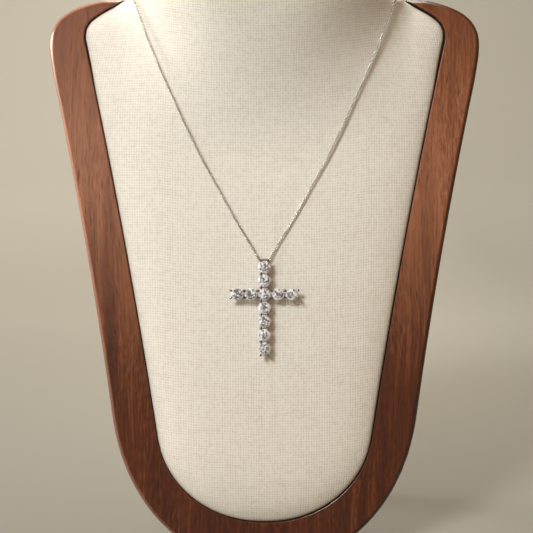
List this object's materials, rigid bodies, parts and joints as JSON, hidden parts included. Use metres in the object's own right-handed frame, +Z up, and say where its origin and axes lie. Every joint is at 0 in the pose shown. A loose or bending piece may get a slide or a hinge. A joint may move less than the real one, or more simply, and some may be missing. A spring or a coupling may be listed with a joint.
{
  "type": "cross pendant necklace on a linen display bust",
  "caption": "Cross of round prong-set stones on a fine link chain, shown on a padded linen neck bust set in a leaning wooden board with a back prop.",
  "frame": {"origin": "middle of the flat foot on which the wooden board stands", "axes": "+X to the viewer's right, -Y towards the viewer, +Z up; the board leans back by 10 degrees, so its face looks a little upward"},
  "size_m": [0.172, 0.0871, 0.2629],
  "materials": {
    "wood": "satin varnish",
    "linen": "woven linen",
    "white_metal": "polished",
    "stone": "faceted and polished"
  },
  "bodies": {
    "display": {"wood_board": "wood", "linen_bust": "linen", "back_prop": "wood", "chain": "white_metal", "clasp": "white_metal"},
    "pendant": {"cross_setting": "white_metal", "stone_centre": "stone", "stone_up_1": "stone", "stone_up_2": "stone", "stone_down_1": "stone", "stone_down_2": "stone", "stone_down_3": "stone", "stone_down_4": "stone", "stone_left_1": "stone", "stone_left_2": "stone", "stone_right_1": "stone", "stone_right_2": "stone"}
  },
  "joints": [
    {"name": "pendant_swing", "type": "hinge", "parent": "display", "child": "pendant", "pos_m": [0, 0.00631, 0.11871], "axis": [-1, 0, 0], "range_deg": [0, 75]}
  ]
}
